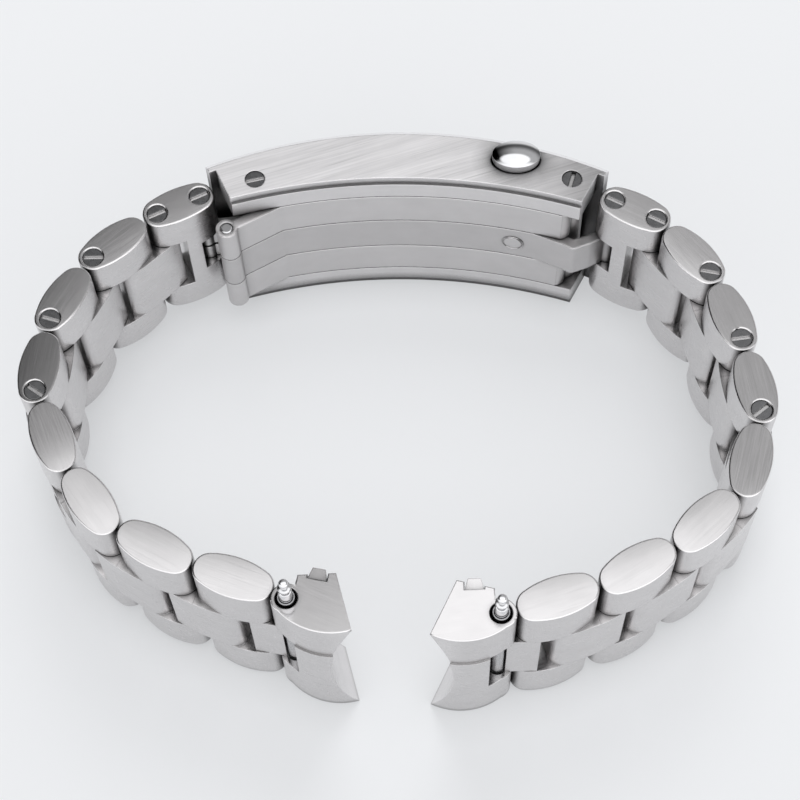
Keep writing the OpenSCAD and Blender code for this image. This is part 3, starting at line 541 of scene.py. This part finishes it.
# %% Links
LEAN = {"left_link_b": -0.02, "left_link_c": -0.15, "left_link_e": 0.02, "left_end": -0.05,
        "right_link_a": 0.02, "right_link_b": -0.03, "right_link_c": -0.07, "right_link_d": -0.055,
        "right_end": 0.04}
WORN = ("left_link_c", "right_link_c", "right_link_d")
LINK_RIM, END_RIM = 0.17, 0.12
for number, name in enumerate(chain):
    middle = (held_at[name] + holds_at[name]) / 2
    steel = brushed_steel("satin_" + name, middle, along[name], seed=7.3 * number + 1.0,
                          contrast=0.34 if name in WORN else 0.14, lean=LEAN.get(name, 0.0))
    dress(name, steel, LINK_RIM, only_rims=True)
print(len(chain), "links dressed,", len(WORN), "of them worn")

# %% End links
for number, side in enumerate(("left", "right")):
    node = side + "_end_link"
    steel = brushed_steel("satin_" + node, box_middle(node), along[side + "_end"], seed=150.0 + number,
                          contrast=0.05, depth=0.0003, face=0.16, half=(9, 6), rise=0.0, lean=LEAN[side + "_end"])
    dress(node, steel, END_RIM, only_rims=True)

# %% [markdown]
# ## The clasp
#
# The cover's side is brushed in long strokes that run a little slantwise, as if it was drawn over the
# belt by hand. The CAD has a round button on each side. On the real clasp it is oval in plan, with a
# taller wall and a flatter crown, so the copies of the button and of its hole are drawn out alike.

# %% Clasp cover and its holes
BUTTONS = {"button_upper": 1, "button_lower": -1}
OVAL = np.array([1.1, 0.74])
BACK = np.array([0, 0.6 * MM])
HOLE_SLACK = 0.06 * MM


def button_axis(node):
    """The middle, in plan, of the part of a push-button that stands out of the cover's side."""
    points = np.array([v.co for v in nodes[node].data.vertices], float)
    far = np.abs(points[:, 2] - cover_mid) > cover_half + 0.2 * MM
    return (points[far].min(0) + points[far].max(0))[:2] / 2


cover_low, cover_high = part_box("clasp_cover")
cover_mid, cover_half = (cover_low.z + cover_high.z) / 2, (cover_high.z - cover_low.z) / 2
press_at = {node: button_axis(node) for node in BUTTONS}


def oval_holes(points):
    """Moves the points on the walls of the two round button holes. Each is measured from the hole's middle,
    taken wider along the clasp and narrower across it, and set back, so the oval's back stays where the
    circle's was, beside the cover's outer edge."""
    for node, side in BUTTONS.items():
        away = points[:, :2] - press_at[node]
        distance = np.linalg.norm(away, axis=1)
        on_side = (points[:, 2] - cover_mid) * side > 0.65 * cover_half
        hole = distance[on_side].min()
        near = on_side & (distance < hole + HOLE_SLACK)
        print(node, "has a hole of radius", round(hole / MM, 2), "mm,", near.sum(), "points drawn out")
        points[near, :2] = press_at[node] + away[near] * OVAL + BACK
    return points


steel = brushed_steel("brushed_cover", box_middle("clasp_cover"), (0.94, 0.34), steel=(0.7, 0.688, 0.693, 1),
                      contrast=0.5, length=0.12, width=5.0, face=0.36, wall=0.36, anisotropic=0.8, seed=201,
                      half=(21, 8), rise=0.0, lean=0.12, twist=0.0007, gap_shade_and_dirt=0.97, gap_shade_reach=2.2,
                      rounding=0.16, depth_of_gap=3.4)
dress("clasp_cover", steel, 0.12, reshape=oval_holes)

# %% [markdown]
# ## Blades, tongue and bracket
#
# The two blades are bent from strip and brushed more finely, along their length. Their colours are darker
# than the links', a painted shade for the inside of the clasp, and the inner one is painted darker than the
# outer.
# The tongue and the bracket under the cover come from sheet, so they have the same finish, only duller.

# %% Blades and sheet pieces
# painted shade: both blade colours are lowered below the links' steel, the inner blade more
BLADE_SHADE_TINTS = {"fork_blade": (0.62, 0.607, 0.609, 1), "centre_blade": (0.56, 0.548, 0.55, 1)}
for number, (node, shaded_tint) in enumerate(BLADE_SHADE_TINTS.items()):
    steel = brushed_steel("blade_" + node, box_middle(node), (1, 0), steel=shaded_tint, contrast=0.12, length=0.15,
                          width=8.0, face=0.36, wall=0.34, anisotropic=0.5, seed=220 + number * 9, half=(19, 8),
                          rise=0.0, gap_shade_and_dirt=0.93, gap_shade_reach=1.2, rounding=0.3)
    dress(node, steel, 0.12)
for node in ("tongue", "catch_frame"):
    steel = brushed_steel("sheet_" + node, box_middle(node), (1, 0), steel=(0.56, 0.555, 0.555, 1), contrast=0.15,
                          face=0.38, wall=0.4, seed=240, half=(8, 4), rise=0.0)
    dress(node, steel, 0.06)

# %% [markdown]
# ## Screws, pins, buttons
#
# The screw heads are painted darker than the links: their colour is a painted shade for the small well each
# sits in, with some grease. The buttons, the stud and the hinge pin of the blades are polished.

# %% Screws and pins
# painted shade: the screw heads' dark colour stands for the shadow in their wells, with some grease
WELL_SHADE_AND_GREASE = (0.2, 0.2, 0.205, 1)
pinned = [node for node in sorted(nodes) if "screw" in node or "_pin_" in node]
for node in pinned:
    low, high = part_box(node)
    steel = turned_steel("turned_" + node, box_middle(node), WELL_SHADE_AND_GREASE, face_at=(high.z - low.z) / 2 / MM)
    dress(node, steel, 0.05)
print(len(pinned), "screws and pins")

# %% Polished pieces
HEAD_DOWN_TO, STEM_DOWN_TO, STEM_REACH = -2.0, -3.3, 1.2
WALL_TOP, CROWN_TOP, TALLER_WALL = 0.43, 1.5, 1.03


def oval_button(node):
    """A reshape for one button. Heights are in millimetres over the cover's side. The head becomes oval in plan
    and goes back with its hole, the stem half as far. Over the side, the wall is stretched from WALL_TOP to
    TALLER_WALL and the crown is pressed flatter, so the top keeps its height."""
    middle, side = press_at[node], BUTTONS[node]

    def reshape(points):
        up = (points[:, 2] - cover_mid) * side / MM - cover_half / MM
        head = up > HEAD_DOWN_TO
        by_axis = np.linalg.norm(points[:, :2] - middle, axis=1) < STEM_REACH * MM
        stem = ~head & (up > STEM_DOWN_TO) & by_axis
        points[head, :2] = middle + (points[head, :2] - middle) * OVAL + BACK
        points[stem, :2] += BACK / 2
        wall = up * TALLER_WALL / WALL_TOP
        crowned = TALLER_WALL + (up - WALL_TOP) * (CROWN_TOP - TALLER_WALL) / (CROWN_TOP - WALL_TOP)
        raised = np.where(up > 0, np.where(up < WALL_TOP, wall, crowned), up)
        points[:, 2] = cover_mid + side * (cover_half + raised * MM)
        return points

    return reshape


def sunk_stud(points):
    """The shank's end is drawn back by half a millimetre, under the face that covers it."""
    low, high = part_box("catch_stud")
    points[points[:, 1] < low.y + 0.05 * MM, 1] += 0.5 * MM
    return points


mirror = polished_steel("polished")
for node in BUTTONS:
    dress(node, mirror, 0.08, reshape=oval_button(node))
dress("fold_pin", mirror, 0.2)
dress("catch_stud", mirror, 0.05, reshape=sunk_stud)

# %% [markdown]
# ## Spring bars and springs
#
# A spring bar is a thin tube with a sprung nose at each end. The nose is a turned part, so its surface
# is a profile of radius against height, carried round the axis. The coil is a circle carried along a
# helix. Both are grids of two parameters, worked out as whole arrays. A coil gets shorter as it is
# pressed, and the coil of a spring bar is pressed from both ends, so it is made as two halves that meet
# in the middle.

# %% Grid surfaces


def grid_piece(name, points, close_u, close_v, node, material):
    """A piece from a grid of points in metres. A closed direction joins its last line to its first."""
    rows, cols = points.shape[:2]
    i = np.arange(rows if close_u else rows - 1)[:, None]
    j = np.arange(cols if close_v else cols - 1)[None, :]
    i2, j2 = (i + 1) % rows, (j + 1) % cols
    corners = np.broadcast_arrays(i * cols + j, i * cols + j2, i2 * cols + j2, i2 * cols + j)
    quads = np.stack(corners, -1).reshape(-1, 4)
    mesh = bpy.data.meshes.new(name)
    mesh.from_pydata(points.reshape(-1, 3).tolist(), [], quads.tolist())
    closed = bmesh.new()
    closed.from_mesh(mesh)
    bmesh.ops.remove_doubles(closed, verts=closed.verts, dist=1e-7)
    holes = [e for e in closed.edges if e.is_boundary]
    if holes:
        bmesh.ops.holes_fill(closed, edges=holes, sides=0)
    bmesh.ops.recalc_face_normals(closed, faces=closed.faces)
    closed.to_mesh(mesh)
    closed.free()
    mesh.shade_smooth()
    mesh.set_sharp_from_angle(angle=math.radians(40))
    mesh.materials.append(material)
    piece = bpy.data.objects.new(name, mesh)
    bpy.context.scene.collection.objects.link(piece)
    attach(piece, body_of_node[node])
    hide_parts(node)
    return piece


def softened(profile, cut):
    """A profile of (radius, height) whose corners are cut back along both sides by a small length, at most 0.4 of
    the side. A middle point, 0.4 of the corner and 0.3 of each end, keeps the cut a little round."""
    profile = np.array(profile, float)
    before, here, after = profile[:-2], profile[1:-1], profile[2:]
    to_before, to_after = before - here, after - here
    length_before = np.linalg.norm(to_before, axis=1, keepdims=True)
    length_after = np.linalg.norm(to_after, axis=1, keepdims=True)
    first = here + to_before / length_before * np.minimum(cut, 0.4 * length_before)
    last = here + to_after / length_after * np.minimum(cut, 0.4 * length_after)
    middle = here * 0.4 + first * 0.3 + last * 0.3
    inner = np.stack([first, middle, last], 1).reshape(-1, 2)
    return np.vstack([profile[:1], inner, profile[-1:]])


def turned_points(profile, axis_at, facing):
    """Points of a turned shape: radius times (cos, sin) round an upright axis, heights counted along facing."""
    angle = np.linspace(0, 2 * np.pi, 40, endpoint=False)
    r, z = profile[:, 0:1], profile[:, 1:2]
    x = axis_at[0] + r * np.cos(angle) * MM
    y = axis_at[1] + r * np.sin(angle) * MM
    return np.stack([x, y, np.broadcast_to(axis_at[2] + facing * z * MM, x.shape)], -1)


# %% [markdown]
# ## The face of the catch stud
#
# The stud is riveted into the inner blade and its face is pressed nearly level with it, so a thin
# groove is all that shows. The face is a profile of height against radius, carried round. It has to lean
# with the blade, which is curved, so the slope is first measured on the blade's own points.

# %% The stud's pressed face


def pressed_face(middle, face_line, radius, proud, sink):
    """A round, nearly flat face lying on a blade. Its height over the blade is proud, but nearly nothing in the
    groove just inside its rim. At the radius it goes back inside the blade by sink. It leans with the blade,
    whose face is y = face_line(x)."""
    r = np.array([0, 0.4, 0.76, 0.8, 0.83, 0.91, 0.94, 0.97, 1, 1, 0]) * radius
    y_out = np.array([-1, -1, -1, -0.8, -0.1, -0.1, -0.8, -1, -0.7, sink / proud, sink / proud]) * proud
    angle = np.linspace(0, 2 * np.pi, 64, endpoint=False)
    x = middle[0] + r[:, None] * np.cos(angle)
    z = middle[1] + r[:, None] * np.sin(angle)
    return np.stack([x, np.polyval(face_line, x) + y_out[:, None], z], -1)


low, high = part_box("catch_stud")
stud_x, stud_z = (low.x + high.x) / 2, (low.z + high.z) / 2
blade = np.array([v.co for v in nodes["centre_blade"].data.vertices], float)
near = blade[(np.abs(blade[:, 0] - stud_x) < 4 * MM) & (np.abs(blade[:, 2] - stud_z) < 4 * MM)]
near = near[near[:, 1] < low.y + 1.2 * MM]
face_line = np.polyfit(near[:, 0], near[:, 1], 1)
off = near[:, 1] - np.polyval(face_line, near[:, 0])
front = near[off < 0.0] if np.ptp(off) > 0.4 * MM else near
face_line = np.polyfit(front[:, 0], front[:, 1], 1)
print("the blade slopes by", round(face_line[0], 3), "at the stud, from", len(front), "points")
STUD_RADIUS, STUD_PROUD, STUD_SINK = 1.12 * MM, 0.1 * MM, 0.05 * MM
pressed_steel = brushed_steel("pressed_stud", box_middle("catch_stud"), (1, 0), steel=(0.6, 0.588, 0.59, 1),
                              contrast=0.1, face=0.34, wall=0.32, seed=260, rise=0.0, gap_shade_and_dirt=0.95, gap_shade_reach=0.35,
                              rounding=0.02)
stud_points = pressed_face((stud_x, stud_z), face_line, STUD_RADIUS, STUD_PROUD, STUD_SINK)
grid_piece("catch_stud_face", stud_points, False, True, "catch_stud", pressed_steel)

# %% [markdown]
# ## Noses, coils and tubes
#
# A nose has a thin neck, a collar by which a tool pulls it back, and a knob that enters the lug. Its
# profile is listed from the hidden foot to the tip. The wire of the coils is drawn, so it is duller
# than the polished noses.

# %% Spring-bar noses
NOSE_OUT = 1.85
NOSE = [(0, -3), (0.63, -3), (0.63, 0), (0.28, 0), (0.28, 0.45), (0.62, 0.45), (0.62, 0.8), (0.28, 0.8),
        (0.28, 1.25), (0.45, 1.25), (0.45, 1.7), (0.3, NOSE_OUT), (0, NOSE_OUT)]
bright = polished_steel("polished_noses", steel=(0.76, 0.76, 0.77, 1), haze=0.1)
for side in ("left", "right"):
    for facing, end in ((1, "upper"), (-1, "lower")):
        node = f"{side}_nose_{end}"
        low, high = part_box(node)
        tip = high.z if facing > 0 else low.z
        axis_at = ((low.x + high.x) / 2, (low.y + high.y) / 2, tip - facing * NOSE_OUT * MM)
        nose = turned_points(softened(NOSE, 0.06), axis_at, facing)
        grid_piece(node + "_turned", nose, False, True, node, bright)
        print(node, "has", nose.shape[0], "rings of", nose.shape[1], "points")

# %% Coils and tubes
BUTTON_WIRE, BUTTON_TURNS = 0.3 * MM, 4
BAR_WIRE, BAR_TURNS = 0.16 * MM, 16
wire = turned_steel("drawn_wire", (0, 0, 0), (0.5, 0.5, 0.52, 1), rough=0.3, rings=3.0, contrast=0.2)


def coil_points(low, high, wire_d, turns, start, end, per_turn=28):
    """A circle of the wire's width carried along a helix that fills a box: round, and evenly up. start and end
    are the shares of the whole coil between which this piece of it runs."""
    outer = (high.x - low.x) / 2
    r, w = outer - wire_d / 2, wire_d / 2
    t = np.linspace(start, end, int(turns * per_turn * (end - start)) + 1)[:, None]
    around = np.linspace(0, 2 * np.pi, 10, endpoint=False)[None, :]
    angle = 2 * np.pi * turns * t
    rise = low.z + w + (high.z - low.z - wire_d) * t
    reach = r + w * np.cos(around)
    x = (low.x + high.x) / 2 + reach * np.cos(angle)
    y = (low.y + high.y) / 2 + reach * np.sin(angle)
    return np.stack([x, y, rise + w * np.sin(around)], -1)


def wind(node, wire_d, turns, joint, start, end):
    """A piece of a coil between the shares start and end of the whole, named after the joint that presses it."""
    low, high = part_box(node)
    points = coil_points(low, high, wire_d, turns, start, end)
    coil = grid_piece(f"{node}_{joint}", points, False, True, node, wire)
    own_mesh(coil)


for end, facing in (("upper", 1), ("lower", -1)):
    node = "button_spring_" + end
    low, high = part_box(node)
    wind(node, BUTTON_WIRE, BUTTON_TURNS, end + "_button_press", 0, 1)
for side in ("left", "right"):
    node = side + "_bar_spring"
    middle = box_middle(node)
    wind(node, BAR_WIRE, BAR_TURNS, side + "_nose_lower_press", 0, 0.5)
    wind(node, BAR_WIRE, BAR_TURNS, side + "_nose_upper_press", 0.5, 1)
for side in ("left", "right"):
    node = side + "_bar_tube"
    dress(node, turned_steel(side + "_tube_steel", box_middle(node), (0.5, 0.5, 0.51, 1)), 0.03)
shown = [o for o in bpy.data.objects if o.type == "MESH" and not o.hide_render]
print(sum(len(o.data.polygons) for o in shown), "faces are shown")

# %% [markdown]
# ## Floor and light
#
# The bracelet stands on a pale sheet. The sheet's own colour is mixed with a little light of its own for
# rays from the camera and from glossy steel, so it stays nearly white without more light on the object,
# and the soft shadow remains. A softbox hangs high behind the clasp, so the shadows fall toward the
# camera. The sky is a few soft patches: one overhead, one in front that makes rims facing the camera
# shine, and dimmer ones behind, because a face that mirrors the back of the studio is darker.

# %% Floor
FLOOR_Z = 1.5 * MM
SHEET = 3.0
CONTACT, CONTACT_SHADE = 4 * MM, 0.5
GLOW_SHARE = 0.5
floor_mesh = bpy.data.meshes.new("floor")
sheet_corners = [(x * SHEET, y * SHEET, FLOOR_Z) for x, y in ((-1, -1), (1, -1), (1, 1), (-1, 1))]
floor_mesh.from_pydata(sheet_corners, [], [(0, 1, 2, 3)])
floor = bpy.data.objects.new("floor", floor_mesh)
bpy.context.scene.collection.objects.link(floor)
paper = bpy.data.materials.new("pale_sheet")
paper.use_nodes = True
tree = paper.node_tree
tree.nodes.clear()
touching = add(tree, "AmbientOcclusion", Distance=CONTACT).outputs["AO"]
lit = calc(tree, "MULTIPLY_ADD", touching, CONTACT_SHADE, 1.0 - CONTACT_SHADE)
pale = add(tree, "VectorMath", "SCALE", i0=(0.845, 0.852, 0.865), Scale=lit)
shade = add(tree, "BsdfDiffuse", Color=pale.outputs[0], Roughness=0.5)
glow = add(tree, "Emission", Color=(0.95, 0.965, 0.985, 1), Strength=1.0)
path = add(tree, "LightPath").outputs
seen = calc(tree, "MAXIMUM", path["Is Camera Ray"], path["Is Glossy Ray"])
seen = calc(tree, "MAXIMUM", seen, path["Is Transmission Ray"])
glowing = calc(tree, "MULTIPLY", seen, GLOW_SHARE)
blend = add(tree, "MixShader", i0=glowing, i1=shade.outputs[0], i2=glow.outputs[0])
tree.links.new(blend.outputs[0], add(tree, "OutputMaterial").inputs[0])
floor_mesh.materials.append(paper)
print("the sheet lies", round(FLOOR_Z / MM, 2), "mm above the base plane, where the links' edges stand")

# %% Sky of the studio
OVERHEAD, FRONT = 1.42, 1.45
world = bpy.data.worlds.new("studio")
bpy.context.scene.world = world
world.use_nodes = True
tree = world.node_tree
tree.nodes.clear()
way = add(tree, "SeparateXYZ", Vector=add(tree, "TexCoord").outputs["Generated"]).outputs


def ramp(value, start, end, low, high):
    """A smooth step from low to high while value runs from start to end."""
    made = add(tree, "MapRange", Value=value, i1=start, i2=end, i3=low, i4=high)
    made.interpolation_type = "SMOOTHSTEP"
    return made.outputs[0]


path = add(tree, "LightPath").outputs
above = ramp(way["Z"], 0.86, 0.93, 0.0, OVERHEAD)
in_front = ramp(calc(tree, "MULTIPLY", way["Y"], -1.0), -0.1, 0.4, 0.0, FRONT)
in_front = calc(tree, "MULTIPLY", in_front, calc(tree, "MULTIPLY_ADD", path["Is Diffuse Ray"], -0.5, 1.0))
behind = calc(tree, "ADD", ramp(way["Z"], 0.5, 0.78, 0.12, 0.5), ramp(way["Z"], 0.15, 0.42, 0.75, 0.0))
behind = calc(tree, "MULTIPLY", behind, calc(tree, "MULTIPLY_ADD", way["X"], 2.2, 1.0, clamp=True))
level = calc(tree, "MAXIMUM", calc(tree, "MAXIMUM", above, in_front), behind)
level = calc(tree, "MULTIPLY", level, calc(tree, "MULTIPLY_ADD", way["X"], 0.15, 1.0))
pale = add(tree, "Background", Color=(0.91, 0.92, 0.93, 1), Strength=1.0)
studio = add(tree, "Background", Color=(0.985, 0.99, 1.0, 1), Strength=level)
mix = add(tree, "MixShader", i0=path["Is Camera Ray"], i1=studio.outputs[0], i2=pale.outputs[0])
tree.links.new(mix.outputs[0], add(tree, "OutputWorld").inputs[0])

# %% Softbox


def softbox(name, place, aim, size, radiance):
    """A rectangular lamp that shines from a place towards an aim. Its power, radiance times pi times its area,
    gives it the same brightness at any size."""
    lamp = bpy.data.lights.new(name, "AREA")
    lamp.shape = "RECTANGLE"
    lamp.size, lamp.size_y = size
    lamp.energy = radiance * math.pi * size[0] * size[1]
    holder = bpy.data.objects.new(name, lamp)
    bpy.context.scene.collection.objects.link(holder)
    holder.location = place
    holder.rotation_euler = (Vector(aim) - Vector(place)).to_track_quat("-Z", "Y").to_euler()
    return holder


key_light = softbox("overhead", (0.02, 0.30, 0.42), (0, 0, 0), (0.25, 0.25), 5.0)
key_light.visible_glossy = False
